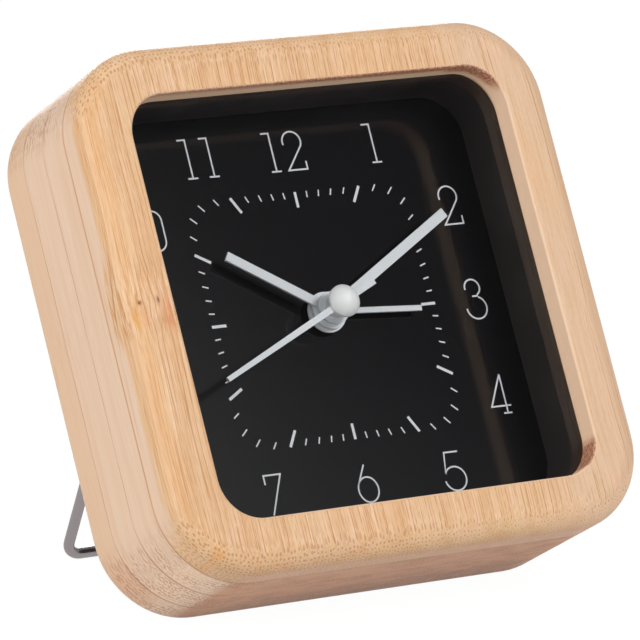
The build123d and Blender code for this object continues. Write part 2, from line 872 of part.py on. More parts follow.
def second_hand():
    """The hand and the short pipe that it is pressed on the arbor by."""
    front = dial_face - second_rise
    half, half_tip = second_width / 2, second_tip_width / 2
    outline = Polygon((-half, -second_tail), (half, -second_tail), (half, 0), (half_tip, second_reach),
                      (-half_tip, second_reach), (-half, 0), align=None)
    outline += Circle(cap_radius - cap_rim)
    whole = prism(outline, front, front + hand_thickness)
    whole += disc(second_pipe, front, dial_face - minute_rise - second_pipe_gap)
    bore = disc(second_arbor, front - overrun, dial_face - minute_rise)
    return pointing(whole - bore, second_points)


def hand_cap():
    """A low dome with a short rim, pressed on the end of the second hand."""
    back = dial_face - second_rise
    dome = cap_height - cap_rim
    sphere_radius = (cap_radius**2 + dome**2) / (2 * dome)
    ball = Pos(0, back - cap_height + sphere_radius, 0) * Sphere(sphere_radius)
    return disc(cap_radius, back - cap_height, back) & ball


# Putting the clock together

PIECES = {
    "case_block": case_block,
    "lens_pane": lens_pane,
    "dial_spacer": dial_spacer,
    "dial_plate": dial_plate,
    "back_cover": back_cover,
    "battery_door": battery_door,
    "cover_screws": cover_screws,
    "wire_stand": wire_stand,
    "movement_housing": movement_housing,
    "middle_plate": middle_plate,
    "rear_plate": rear_plate,
    "movement_screws": movement_screws,
    "cannon_pinion": cannon_pinion,
    "hour_wheel": hour_wheel,
    "alarm_wheel": alarm_wheel,
    "minute_wheel": minute_wheel,
    "centre_wheel": centre_wheel,
    "third_wheel": third_wheel,
    "second_wheel": second_wheel,
    "step_wheel": step_wheel,
    "rotor_pinion": rotor_pinion,
    "rotor_magnet": rotor_magnet,
    "time_shaft": time_shaft,
    "alarm_shaft": alarm_shaft,
    "time_knob": lambda: knob(time_place),
    "alarm_knob": lambda: knob(alarm_place),
    "stator": stator,
    "coil_bobbin": coil_bobbin,
    "coil_winding": coil_winding,
    "buzzer": buzzer,
    "circuit_board": circuit_board,
    "chip": chip,
    "quartz_crystal": quartz_crystal,
    "switch_body": switch_body,
    "alarm_slider": alarm_slider,
    "battery": battery,
    "contact_plus": contact_plus,
    "contact_minus": contact_minus,
    "alarm_collet": lambda: collet(alarm_collet_radius, alarm_outer, alarm_rise),
    "hour_collet": lambda: collet(hour_collet_radius, hour_outer, hour_rise),
    "minute_collet": lambda: collet(minute_collet_radius, cannon_outer, minute_rise),
    "alarm_hand": lambda: blade(alarm_width / 2, alarm_width / 2, alarm_reach, alarm_rise, alarm_points,
                                alarm_outer),
    "hour_hand": lambda: blade(hour_width / 2, hour_width / 2, hour_reach, hour_rise, hour_points, hour_outer),
    "minute_hand": lambda: blade(minute_width / 2, minute_width / 2, minute_reach, minute_rise, minute_points,
                                 cannon_outer),
    "second_hand": second_hand,
    "hand_cap": hand_cap,
}

stand_on_table = Pos(0, -centre_back, -table) * Rot(-lean, 0, 0)
os.makedirs("parts", exist_ok=True)
for name, build in PIECES.items():
    export_step(stand_on_table * build(), f"parts/{name}.step")
print(f"stand leg {leg_length:.2f}, table {table:.2f}, centre {centre_back:.2f}")
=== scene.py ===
"""A square bamboo alarm clock on a folding wire stand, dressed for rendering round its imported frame."""
import json
from math import atan2, cos, hypot, radians, sin

import bpy
from mathutils import Matrix, Vector


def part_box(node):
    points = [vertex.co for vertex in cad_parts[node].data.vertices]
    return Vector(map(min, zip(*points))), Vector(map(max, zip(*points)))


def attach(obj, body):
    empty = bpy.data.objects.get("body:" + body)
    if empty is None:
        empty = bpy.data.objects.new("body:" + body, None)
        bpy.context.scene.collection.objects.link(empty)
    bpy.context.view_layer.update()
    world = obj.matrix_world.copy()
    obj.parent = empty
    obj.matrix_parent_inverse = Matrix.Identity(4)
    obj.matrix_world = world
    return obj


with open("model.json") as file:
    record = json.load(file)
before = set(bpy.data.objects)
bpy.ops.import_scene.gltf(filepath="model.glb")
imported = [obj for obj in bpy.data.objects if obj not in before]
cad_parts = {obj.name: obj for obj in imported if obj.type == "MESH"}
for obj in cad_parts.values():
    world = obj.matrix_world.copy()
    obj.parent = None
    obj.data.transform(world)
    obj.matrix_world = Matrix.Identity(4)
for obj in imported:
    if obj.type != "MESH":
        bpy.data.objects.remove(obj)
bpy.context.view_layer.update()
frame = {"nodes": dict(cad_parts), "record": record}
nodes = frame["nodes"]
joints = {joint["name"]: joint for joint in frame["record"]["behaviour"]["joints"]}

# Lengths of the clock are in millimetres, and MM turns them into Blender's metres.
MM = 0.001

# The clock leans back: its own axes run right, into the dial and up the dial.
dial_joint = joints["minute_hand_turn"]
into_dial = Vector(dial_joint["axis"]).normalized()
right = Vector((1, 0, 0))
up_dial = right.cross(into_dial)
dial_centre = Vector(dial_joint["pos_m"])
lean = atan2(-into_dial.z, into_dial.y)


def front_of(node):
    """How far a node's mesh reaches along the dial's axis towards the viewer: negative, in millimetres."""
    return min((vertex.co - dial_centre).dot(into_dial) / MM for vertex in nodes[node].data.vertices)


case_front = front_of("case_block")
face_centre = dial_centre + into_dial * case_front * MM
case_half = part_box("case_block")[1][0] / MM


def on_dial(x, z, depth=0.0):
    """The place, in metres, of a point x right of, z above and depth behind the dial's centre."""
    return dial_centre + (right * x + up_dial * z + into_dial * depth) * MM


# Colours and node trees

def colour(red, green, blue):
    """A display colour from 0 to 255 as Blender's linear one."""
    def linear(value):
        share = value / 255
        return share / 12.92 if share <= 0.04045 else ((share + 0.055) / 1.055) ** 2.4
    return linear(red), linear(green), linear(blue), 1.0


class Shade:
    """Builds one material, or a world. Values passed in may be numbers, colours or other nodes' outputs."""

    def __init__(self, name, owners=None, output="OutputMaterial"):
        owners = bpy.data.materials if owners is None else owners
        self.owner = owners.new(name)
        self.owner.use_nodes = True
        self.tree = self.owner.node_tree
        self.tree.nodes.clear()
        self.output = self.add(output)

    def add(self, kind, inputs=(), **settings):
        """A new node, with links made to those inputs that are other nodes' outputs."""
        node = self.tree.nodes.new("ShaderNode" + kind)
        for key, value in settings.items():
            setattr(node, key, value)
        for key, value in dict(inputs).items():
            if isinstance(value, bpy.types.NodeSocket):
                self.tree.links.new(value, node.inputs[key])
            else:
                node.inputs[key].default_value = value
        return node

    def math(self, operation, *values):
        """One Math node; the short names below it are for the common operations."""
        return self.add("Math", dict(enumerate(values)), operation=operation).outputs[0]

    def plus(self, first, second):
        return self.math("ADD", first, second)

    def minus(self, first, second):
        return self.math("SUBTRACT", first, second)

    def times(self, *values):
        whole = values[0]
        for value in values[1:]:
            whole = self.math("MULTIPLY", whole, value)
        return whole

    def larger(self, first, second):
        return self.math("MAXIMUM", first, second)

    def size(self, value):
        return self.math("ABSOLUTE", value)

    def rest(self, value):
        """What is missing from one."""
        return self.minus(1.0, value)

    def vector(self, operation, *values):
        return self.add("VectorMath", dict(enumerate(values)), operation=operation).outputs[0]

    def scaled(self, vector, x, y, z):
        return self.vector("MULTIPLY", vector, (x, y, z))

    def dot(self, vector, direction):
        """How far a vector points in a fixed direction."""
        turned = self.add("VectorMath", {0: vector, 1: tuple(direction)}, operation="DOT_PRODUCT")
        return turned.outputs["Value"]

    def joined(self, x, y):
        return self.add("CombineXYZ", {"X": x, "Y": y}).outputs[0]

    def parts(self, mixed):
        return self.add("SeparateColor", {0: mixed}).outputs

    def step(self, value, low, high, start=0.0, end=1.0):
        """A smooth step from start to end as the value goes from low to high."""
        return self.add("MapRange", {"Value": value, "From Min": low, "From Max": high, "To Min": start,
                                     "To Max": end}, interpolation_type="SMOOTHSTEP").outputs[0]

    def noise(self, vector, scale=1.0, detail=2.0, roughness=0.5):
        return self.add("TexNoise", {"Vector": vector, "Scale": scale, "Detail": detail,
                                     "Roughness": roughness}).outputs["Fac"]

    def sway(self, vector):
        """A slow noise that pushes each of the three coordinates either way, by half a unit at most."""
        noise = self.add("TexNoise", {"Vector": vector, "Scale": 1.0, "Detail": 1.0})
        return self.vector("SUBTRACT", noise.outputs["Color"], (0.5, 0.5, 0.5))

    def cells(self, place, scale, randomness, dimensions="2D"):
        """Scattered cells in a plane, or along a line for 1D."""
        inputs = {"Vector" if dimensions == "2D" else "W": place, "Scale": scale, "Randomness": randomness}
        return self.add("TexVoronoi", inputs, voronoi_dimensions=dimensions).outputs

    def mix(self, factor, first, second):
        node = self.add("Mix", data_type="RGBA", blend_type="MIX")
        for socket, value in ((node.inputs[0], factor), (node.inputs[6], first), (node.inputs[7], second)):
            if isinstance(value, bpy.types.NodeSocket):
                self.tree.links.new(value, socket)
            else:
                socket.default_value = value
        return node.outputs[2]

    def bump(self, height, distance, strength=1.0):
        inputs = {"Height": height, "Distance": distance * MM, "Strength": strength}
        return self.add("Bump", inputs).outputs[0]

    def place(self):
        """Where the surface lies in the clock's own axes, in millimetres from its front face's middle."""
        turn = Matrix.Rotation(lean, 3, "X")
        start = -(turn @ face_centre) / MM
        coordinates = self.add("TexCoord").outputs["Object"]
        return self.add("Mapping", {"Vector": coordinates, "Location": start, "Rotation": (lean, 0, 0),
                                    "Scale": (1 / MM,) * 3}, vector_type="POINT").outputs[0]

    def show(self, shader):
        """Sends a shader to the output, and gives back the finished material or world."""
        self.tree.links.new(shader.outputs[0], self.output.inputs["Surface"])
        return self.owner

    def finish(self, **sockets):
        """Shows a Principled shader; socket names are written with underscores."""
        inputs = {key.replace("_", " "): value for key, value in sockets.items()}
        return self.show(self.add("BsdfPrincipled", inputs))


# Bamboo

# The block is glued up from plies, front to back. Pitches say how far apart its fibre bundles and lines lie.
ply_thickness = 8.05
ply_count = 4
bundle_pitch = 0.76
line_pitch = 0.95
rail_width = 9.25
window_half = case_half - rail_width
window_corner = 7.5

# How squarely a surface faces a way where it starts to count as end grain, underside or side, and fully does
facing_up_or_down = (0.1, 0.45)
facing_down = (0.94, 1.0)
facing_sideways = (0.8, 0.98)

# Where a feature of the front starts and where it is there in full, right of the middle or up from it
level_rails_reach = (36.5, 39.5)
level_rails_end = (-42.0, -37.0)
node_height = 1.5
node_reach = (10.0, 2.0)
node_side = (-33.5, -36.0)
plain_side = (22.0, 34.0)
cut_fibres_reach = (41.5, 43.6)
outward_turn = (-10.0, 10.0)

# The strip below the node has few lines
unlined_top = (-3.5, -5.0)
unlined_foot = (-22.0, -10.0)
unlined_side = (-44.5, -46.5)

# The pale side starts behind a ragged edge, further back at the node
ragged_depth = 5.0
node_depth = 2.2
side_fade = (0.4, 2.4)

# Seams between the plies, as shares of a ply's thickness
seam_half = 0.028
seam_half_more_endways = 0.016
seam_wander = 0.012
first_seam_edge = (0.06, 0.01)

# How far the grain curls at the node, drifts elsewhere, and shifts from ply to ply
curl_strength = 1.3
drift_strength = 2.5
ply_shift = 7.3

# Dots: how the rounded edge stretches them, and, as shares of their pitch, how much they vary, how they
# shrink from left to right, and where the dot ends and its ring starts and ends
dot_stretch_inward = 1.15
dot_stretch_outward = 0.22
dot_variation = 0.09
dots_shrink = (-25.0, 30.0)
dots_shrink_by = (-0.05, 0.06)
dot_edge = (0.23, 0.07)
ring_start = (0.22, 0.3)
ring_end = (0.5, 0.36)

# Dashes of the end grain: how they slant, how long they are, how many there are to a bundle, and their edges
dash_lean = 0.7
dash_squash = 0.7
dashes_per_bundle = 1.05
dash_edge = (0.36, 0.16)

# Lines and hairs, as shares of the line's pitch, then the pace and steps of the noise that says where along
# its length each one shows, on the side rails and on the top and bottom ones
line_half = 0.085
line_half_more = 0.06
hairs_per_line = 2.3
hair_edge = (0.25, 0.06)
line_seeds = 60.0
hair_seeds = 90.0
LINE_RUNS = ((0.06, 0.38, 0.56), (0.2, 0.36, 0.5))
HAIR_RUNS = ((0.13, 0.4, 0.6), (0.3, 0.36, 0.52))

# How fine each noise is: about how many of its features fit in a millimetre across, into the case and up it
FINENESS = {
    "seam": (0.12, 0.0, 0.12),
    "ragged": (0.5, 1.1, 0.07),
    "curl": (0.3, 0.3, 0.14),
    "drift": (0.02, 0.02, 0.03),
    "patches": (0.16, 0.3, 0.16),
    "fibre": (2.6, 2.6, 0.06),
    "band": (0.3, 0.3, 0.02),
    "blush": (0.45, 0.45, 0.16),
    "mottle": (1.7, 1.7, 0.22),
    "cloud": (0.06, 0.06, 0.03),
    "veil": (0.5, 0.5, 0.02),
    "chatter": (1.5, 1.1, 1.5),
}

# Dark spots of the node on the left rail: where each lies and how far it reaches, right and up
NODE_SPOTS = [(-44.9, 1.65, 0.42, 0.5), (-41.3, 1.8, 0.35, 0.8)]
# Stained patches of the front: where each lies, how far it reaches, and its colour
STAINS = [((-45.8, -1.3), (0.9, 3.6), (218, 156, 78)), ((-39.9, -0.6), (1.2, 5.2), (220, 142, 92)),
          ((-44.3, -1.2), (0.7, 3.8), (214, 144, 92)), ((-41.1, -43.3), (1.8, 2.2), (224, 158, 84)),
          ((-42.8, 5.0), (2.0, 4.5), (226, 172, 116)), ((-41.0, -1.5), (0.6, 3.0), (214, 152, 106))]
# Bold dark streaks of the left edge, laid out flat: where, how far, how strong, and how much they slant
STREAKS = [((-52.4, 4.0), (0.4, 8.5), 0.85, 0.2), ((-51.6, 9.0), (0.22, 6.0), 0.6, 0.15),
           ((-50.6, 6.0), (0.2, 7.0), 0.5, 0.12), ((-47.1, 11.0), (0.22, 8.0), 0.6, 0.0),
           ((-45.4, 13.0), (0.2, 8.0), 0.5, 0.0), ((-43.2, -14.0), (0.2, 10.0), 0.6, 0.0),
           ((-41.0, -22.0), (0.22, 14.0), 0.6, 0.0), ((-39.6, -12.0), (0.18, 9.0), 0.6, 0.0),
           ((-45.0, -30.0), (0.25, 9.0), 0.6, 0.0), ((-53.4, -14.0), (0.16, 12.0), 0.4, 0.05),
           ((-41.9, 6.5), (0.2, 4.0), 0.7, -0.1), ((-41.2, 8.0), (0.16, 4.5), 0.6, -0.1)]

# The router's burns on the window's walls: each one's middle and reach on the front, or how far it runs along
# the top wall, and the depths between which it fades
low_burn_middle = (window_half - 1.6, 3.4 - window_half)
low_burn_reach = (3.2, 5.4)
high_burn_middle = (window_half - 5.0, window_half - 1.0)
high_burn_reach = (9.0, 6.5)
high_burn_depth = (4.3, 0.8)
long_burn_run = (-38.0, 20.0)
long_burn_rise = (33.0, 35.5)
long_burn_depth = (3.0, 0.3)

BAMBOO = {
    "strip": colour(217, 170, 123),
    "pale strip": colour(228, 188, 144),
    "plain rail": colour(219, 184, 153),
    "underside": colour(224, 168, 134),
    "blush": colour(232, 190, 156),
    "side": colour(229, 198, 171),
    "last ply's side": colour(225, 189, 156),
    "darker side": colour(222, 182, 148),
    # Painted light: a paler colour for the lower corners of the plies behind the front
    "painted light on the low corner": colour(254, 224, 196),
    "last ply's corner": colour(222, 176, 144),
    # The two end-grain colours go only where the plies behind the front face down, and are darker partly as
    # painted shade
    "end grain": colour(220, 160, 114),
    "dark end grain": colour(206, 144, 98),
    "cloud": colour(228, 176, 124),
    "fibre": colour(216, 164, 114),
    "pale fibre": colour(240, 210, 178),
    "swirl": colour(198, 138, 82),
    "pale swirl": colour(238, 206, 176),
    "hair": colour(200, 138, 80),
    "line": colour(192, 130, 74),
    "streak": colour(180, 124, 72),
    "ring": colour(240, 208, 172),
    "dot": colour(186, 132, 90),
    "speckle": colour(168, 108, 70),
    "first seam": colour(208, 146, 90),
    "seam": colour(190, 142, 104),
    "end seam": colour(172, 120, 84),
    "round a spot": colour(192, 126, 76),
    "spot": colour(116, 68, 32),
    # Painted light on the window's walls
    "painted light on the lining": colour(240, 204, 172),
    "scorch": colour(196, 122, 84),
    "burn": colour(138, 80, 52),
}


def spot(shade, x, z, middle, reach):
    """One at the middle of an ellipse on the front, falling to nothing at its edge."""
    across = shade.math("DIVIDE", shade.minus(x, middle[0]), reach[0])
    along = shade.math("DIVIDE", shade.minus(z, middle[1]), reach[1])
    away = shade.math("SQRT", shade.plus(shade.times(across, across), shade.times(along, along)))
    return shade.step(away, 1.0, 0.2)


def over(shade, tint, name, *weights):
    """One of the bamboo's colours laid over what is there, by the weights multiplied together."""
    return shade.mix(shade.times(*weights), tint, BAMBOO[name])


def plies(shade, place, ply, endways):
    """The seams between the plies, of uneven strength, and the soft first one on the rounded front edge."""
    unevenness = shade.noise(shade.scaled(place, *FINENESS["seam"]), detail=3.0)
    to_seam = shade.size(shade.minus(ply, shade.math("ROUND", ply)))
    to_seam = shade.plus(to_seam, shade.times(shade.minus(unevenness, 0.5), seam_wander))
    inside = shade.times(shade.step(ply, 0.4, 0.5), shade.step(ply, ply_count - 0.4, ply_count - 0.5))
    half = shade.plus(seam_half, shade.times(endways, seam_half_more_endways))
    seam = shade.times(shade.step(shade.math("DIVIDE", to_seam, half), 1.0, 0.2), inside,
                       shade.step(unevenness, 0.3, 0.65, 0.3, 0.85))
    first_seam = shade.times(shade.step(to_seam, *first_seam_edge), shade.step(ply, 0.8, 0.9),
                             shade.step(ply, 1.2, 1.1))
    return seam, first_seam


def wandering_grain(shade, place, at_node, ply):
    """Coordinates that drift a little on their way up, swirl round the node and shift with each ply."""
    number = shade.math("MINIMUM", shade.math("FLOOR", ply), ply_count - 1.0)
    curl = shade.sway(shade.scaled(place, *FINENESS["curl"]))
    curl = shade.add("VectorMath", {0: curl, "Scale": shade.times(at_node, curl_strength)}, operation="SCALE")
    drift = shade.sway(shade.scaled(place, *FINENESS["drift"]))
    grain = shade.vector("ADD", place, shade.scaled(drift, drift_strength, drift_strength, 0.0))
    grain = shade.vector("ADD", grain, curl.outputs["Vector"])
    shift = shade.joined(shade.times(number, ply_shift), 0.0)
    return shade.vector("ADD", grain, shift)


def fibre_dots(shade, grain_x, grain_y, out, x):
    """Fibre bundles where the surface cuts across them: dark dots, and the pale rings round them."""
    cut = shade.plus(shade.times(grain_y, dot_stretch_inward), shade.times(out, dot_stretch_outward))
    bundles = shade.cells(shade.joined(grain_x, cut), 1 / bundle_pitch, 0.55)
    thick = shade.parts(bundles["Color"])[0]
    from_middle = shade.minus(bundles["Distance"], shade.times(thick, dot_variation))
    from_middle = shade.plus(from_middle, shade.step(x, *dots_shrink, *dots_shrink_by))
    rings = shade.times(shade.step(from_middle, *ring_start), shade.step(from_middle, *ring_end))
    return shade.step(from_middle, *dot_edge), rings


def crossing_dashes(shade, grain_x, grain_y, patches):
    """Short dashes that slant both ways, as the plies' end grain shows them in patches."""
    dashes = []
    for lean_over in (dash_lean, -dash_lean):
        slant = shade.plus(grain_x, shade.times(grain_y, lean_over))
        marks = shade.cells(shade.joined(slant, shade.times(grain_y, dash_squash)),
                            dashes_per_bundle / bundle_pitch, 0.6)
        dashes.append(shade.step(marks["Distance"], *dash_edge))
    return shade.times(shade.larger(*dashes), shade.step(patches, 0.36, 0.62, 0.25, 1.0))


def fibre_lines(shade, across, z, rails):
    """Fibre bundles where they run along the surface: bold lines, and finer hairs between them."""
    def runs(seed, pace, low, high):
        """Where along its length a line shows: each one starts and stops at places of its own."""
        along = shade.joined(seed, shade.times(z, pace))
        return shade.step(shade.noise(along, detail=1.0), low, high)

    def shown(seed, upright, level):
        """A line's runs on the side rails, and its shorter ones on the top and bottom rails."""
        on_sides = shade.times(shade.rest(rails), runs(seed, *upright))
        return shade.plus(on_sides, shade.times(rails, runs(seed, *level)))

    lines = shade.cells(across, 1 / line_pitch, 0.9, "1D")
    own = shade.parts(lines["Color"])
    run = shown(shade.times(own[0], line_seeds), *LINE_RUNS)
    half = shade.plus(shade.times(own[1], line_half_more), line_half)
    line = shade.rest(shade.math("DIVIDE", lines["Distance"], half))
    line = shade.times(shade.step(line, 0.0, 0.7), run, shade.step(own[2], 0.1, 0.9, 0.3, 1.0))
    hairs = shade.cells(across, hairs_per_line / line_pitch, 1.0, "1D")
    own = shade.parts(hairs["Color"])
    run = shown(shade.times(own[0], hair_seeds), *HAIR_RUNS)
    hair = shade.times(shade.step(hairs["Distance"], *hair_edge), shade.step(own[1], 0.1, 0.8), run)
    return line, hair


def window_lining(shade, tint, place, x, y, z):
    """The window's walls: made paler by painted light, and burnt by the router along the top and at their
    right-hand corners.
    """
    straight = window_half - window_corner
    past = [shade.larger(shade.minus(shade.size(reach), straight), 0.0) for reach in (x, z)]
    past = shade.math("SQRT", shade.plus(*(shade.times(reach, reach) for reach in past)))
    inner = shade.step(past, window_corner + 0.4, window_corner + 0.05)
    # Painted light: the window's walls are made paler all round
    tint = over(shade, tint, "painted light on the lining", inner)
    chatter = shade.noise(shade.scaled(place, *FINENESS["chatter"]), scale=1.5, detail=2.0, roughness=0.6)
    low_burn = spot(shade, x, z, low_burn_middle, low_burn_reach)
    high_burn = shade.times(spot(shade, x, z, high_burn_middle, high_burn_reach),
                            shade.step(y, *high_burn_depth))
    long_burn = shade.times(shade.step(x, *long_burn_run, 0.4, 0.8), shade.step(z, *long_burn_rise),
                            shade.step(y, *long_burn_depth))
    burn = shade.times(shade.larger(low_burn, shade.larger(high_burn, long_burn)), inner)
    tint = over(shade, tint, "scorch", shade.step(burn, 0.0, 0.7), 0.55)
    return over(shade, tint, "burn", shade.step(burn, 0.1, 0.7), shade.step(chatter, 0.38, 0.58, 0.15, 0.8))


def bamboo():
    """A block of glued bamboo: its fibres show as lines along the rails, and as dots where they are cut."""
    shade = Shade("bamboo")
    place = shade.place()
    x, y, z = shade.add("SeparateXYZ", {0: place}).outputs
    out = shade.size(z)
    facing = shade.add("NewGeometry").outputs["Normal"]
    endways = shade.step(shade.size(shade.dot(facing, up_dial)), *facing_up_or_down)
    flat = shade.rest(endways)
    down = shade.dot(facing, -up_dial)
    under = shade.step(down, *facing_down)
    ply = shade.math("DIVIDE", y, ply_thickness)
    behind = shade.step(ply, 0.98, 1.02)
    last = shade.step(ply, ply_count - 1.02, ply_count - 0.98)
    rails = shade.times(shade.step(out, *level_rails_reach), shade.step(x, *level_rails_end))
    at_node = shade.times(shade.step(shade.size(shade.minus(z, node_height)), *node_reach),
                          shade.step(x, *node_side))

    # The marked front gives way to the pale side, and to the plies behind it
    ragged = shade.noise(shade.scaled(place, *FINENESS["ragged"]), detail=3.0)
    pale_from = shade.plus(shade.times(ragged, ragged_depth), shade.times(at_node, node_depth))
    into_side = shade.times(shade.step(shade.size(shade.dot(facing, right)), *facing_sideways),
                            shade.step(shade.minus(y, pale_from), *side_fade))
    edge = shade.larger(into_side, behind)

    # Masks and patterns: dots and rings, dashes, lines and hairs, and slower changes of tone
    seam, first_seam = plies(shade, place, ply, endways)
    grain = wandering_grain(shade, place, at_node, ply)
    grain_x, grain_y, _ = shade.add("SeparateXYZ", {0: grain}).outputs
    dots, rings = fibre_dots(shade, grain_x, grain_y, out, x)
    patches = shade.noise(shade.scaled(place, *FINENESS["patches"]), detail=2.0)
    speckle = crossing_dashes(shade, grain_x, grain_y, patches)
    outward = shade.step(x, *outward_turn, -1.0, 1.0)
    laid_flat = shade.plus(x, shade.times(y, outward))
    line, hair = fibre_lines(shade, shade.plus(grain_x, shade.times(grain_y, outward)), z, rails)
    fibre = shade.noise(shade.scaled(grain, *FINENESS["fibre"]), detail=3.0)
    band = shade.noise(shade.scaled(grain, *FINENESS["band"]), detail=3.0)
    blush = shade.noise(shade.scaled(grain, *FINENESS["blush"]), detail=3.0)
    mottle = shade.noise(shade.scaled(grain, *FINENESS["mottle"]), detail=4.0, roughness=0.6)
    cloud = shade.noise(shade.scaled(place, *FINENESS["cloud"]), detail=2.0)
    veil = shade.noise(shade.scaled(place, *FINENESS["veil"]), detail=3.0)

    # The left rail is the most marked strip, and the right one the palest and plainest
    plain = shade.step(x, *plain_side)
    calm = shade.rest(shade.times(edge, 0.85))
    marked = shade.times(calm, shade.rest(shade.times(plain, 0.65)))
    below_node = shade.times(shade.step(z, *unlined_top), shade.step(z, *unlined_foot),
                             shade.step(x, *unlined_side))
    lined = shade.times(calm, shade.rest(shade.times(below_node, 0.8)))

    # Tones of the strips, the side, the underside and the corners. The end grain that faces down is darker
    # partly as painted shade, and the lower corners are made paler as painted light
    tint = shade.mix(shade.step(band, 0.32, 0.68), BAMBOO["strip"], BAMBOO["pale strip"])
    tint = over(shade, tint, "plain rail", plain, 0.8)
    tint = over(shade, tint, "underside", under, 0.7)
    tint = over(shade, tint, "blush", shade.step(blush, 0.45, 0.65), rails, 0.6)
    side = shade.mix(last, BAMBOO["side"], BAMBOO["last ply's side"])
    side = over(shade, side, "darker side", shade.step(veil, 0.45, 0.75, 0.0, 0.5))
    tint = shade.mix(edge, tint, side)
    # Painted light: the plies behind the front are made paler on their lower rounded corners
    tint = over(shade, tint, "painted light on the low corner", shade.step(down, 0.5, 0.9), shade.step(down, 1.0, 0.96), behind)
    tint = over(shade, tint, "last ply's corner", last, endways, shade.step(down, 0.1, 0.5),
                shade.step(down, 0.9, 0.7), 0.6)
    # Partly painted shade: the plies behind the front are darker, in patches, where they face down
    end_grain_and_shade_tint = shade.mix(shade.step(patches, 0.4, 0.65), BAMBOO["end grain"], BAMBOO["dark end grain"])
    tint = shade.mix(shade.times(under, behind), tint, end_grain_and_shade_tint)
    tint = over(shade, tint, "cloud", shade.step(cloud, 0.42, 0.7, 0.0, 0.4), calm)

    # Fibres, and the node with its stains
    tint = over(shade, tint, "fibre", shade.step(fibre, 0.5, 0.72, 0.0, 0.55), marked)
    tint = over(shade, tint, "pale fibre", shade.step(fibre, 0.46, 0.3, 0.0, 0.35), marked)
    tint = over(shade, tint, "swirl", at_node, calm, shade.step(mottle, 0.5, 0.64, 0.0, 0.85))
    tint = over(shade, tint, "pale swirl", at_node, calm, shade.step(mottle, 0.47, 0.34, 0.0, 0.8))
    for middle, reach, stain in STAINS:
        weight = shade.times(spot(shade, x, z, middle, reach), shade.step(fibre, 0.25, 0.65, 0.2, 0.85), calm)
        tint = shade.mix(weight, tint, colour(*stain))
    tint = over(shade, tint, "hair", hair, flat, marked, 0.95)
    tint = over(shade, tint, "line", line, flat, lined, 0.95)
    for middle, reach, weight, slant in STREAKS:
        upright = shade.minus(laid_flat, shade.times(z, slant))
        tint = over(shade, tint, "streak", spot(shade, upright, z, middle, reach), weight)
    cut_fibres = shade.plus(shade.times(shade.step(out, *cut_fibres_reach), 0.4), 0.1)
    shown = shade.larger(cut_fibres, shade.step(endways, 0.0, 0.6, 0.0, 0.66))
    tint = over(shade, tint, "ring", rings, calm, shown, 0.5)
    tint = over(shade, tint, "dot", dots, calm, shown)
    tint = over(shade, tint, "speckle", speckle, endways, behind, 0.6)
    tint = over(shade, tint, "first seam", first_seam, flat, 0.6)
    tint = shade.mix(seam, tint, shade.mix(endways, BAMBOO["seam"], BAMBOO["end seam"]))
    for x_spot, z_spot, half_x, half_z in NODE_SPOTS:
        around = spot(shade, x, z, (x_spot, z_spot), (half_x * 2.2, half_z * 2.0))
        tint = over(shade, tint, "round a spot", around, calm, 0.55)
        tint = over(shade, tint, "spot", spot(shade, x, z, (x_spot, z_spot), (half_x, half_z)), calm, 0.85)
    tint = window_lining(shade, tint, place, x, y, z)

    pits = shade.times(shade.larger(dots, shade.times(line, flat)), calm)
    height = shade.minus(shade.times(fibre, 0.4), pits)
    return shade.finish(Base_Color=tint, Roughness=shade.step(fibre, 0.2, 0.8, 0.45, 0.58),
                        Normal=shade.bump(height, 0.03, 0.5))


# The other materials

lens_ior = 1.45
worn_gain = 1.12
worn_lift = 0.002
tarnish = 0.82


def clear_lens():
    """A thin pane: clear straight through, with a gloss that grows towards grazing angles."""
    shade = Shade("clear_lens")
    clear = shade.add("BsdfTransparent", {"Color": (0.97, 0.975, 0.975, 1.0)})
    gloss = shade.add("BsdfGlossy", {"Color": (1, 1, 1, 1), "Roughness": 0.02})
    facing = shade.rest(shade.add("NewGeometry").outputs["Backfacing"])
    gleam = shade.times(shade.add("Fresnel", {"IOR": lens_ior}).outputs[0], facing)
    return shade.show(shade.add("MixShader", {0: gleam, 1: clear.outputs[0], 2: gloss.outputs[0]}))


def plastic(name, tint, rough=(0.4, 0.55), grain=4.0, depth=0.01, **sockets):
    """Moulded plastic: a fine eroded grain, with slow clouds in its gloss."""
    shade = Shade(name)
    place = shade.place()
    fine = shade.noise(place, scale=grain, detail=3.0, roughness=0.6)
    cloud = shade.noise(place, scale=0.12, detail=2.0)
    pale = tuple(min(1.0, value * worn_gain + worn_lift) for value in tint[:3]) + (1.0,)
    return shade.finish(Base_Color=shade.mix(shade.times(fine, cloud), tint, pale),
                        Roughness=shade.step(shade.plus(cloud, shade.times(fine, 0.2)), 0.35, 0.85, *rough),
                        Normal=shade.bump(fine, depth), **sockets)


def metal(name, tint, rough=(0.22, 0.4), stretch=(1.0, 1.0, 1.0), scale=6.0, depth=0.004):
    """Drawn, rolled or turned metal; stretch says which way its fine lines run."""
    shade = Shade(name)
    lines = shade.noise(shade.scaled(shade.place(), *stretch), scale=scale, detail=4.0, roughness=0.65)
    cloud = shade.noise(shade.place(), scale=0.2, detail=2.0)
    dull = tuple(value * tarnish for value in tint[:3]) + (1.0,)
    return shade.finish(Base_Color=shade.mix(shade.times(lines, cloud), tint, dull), Metallic=1.0,
                        Roughness=shade.step(lines, 0.3, 0.7, *rough), Normal=shade.bump(lines, depth))


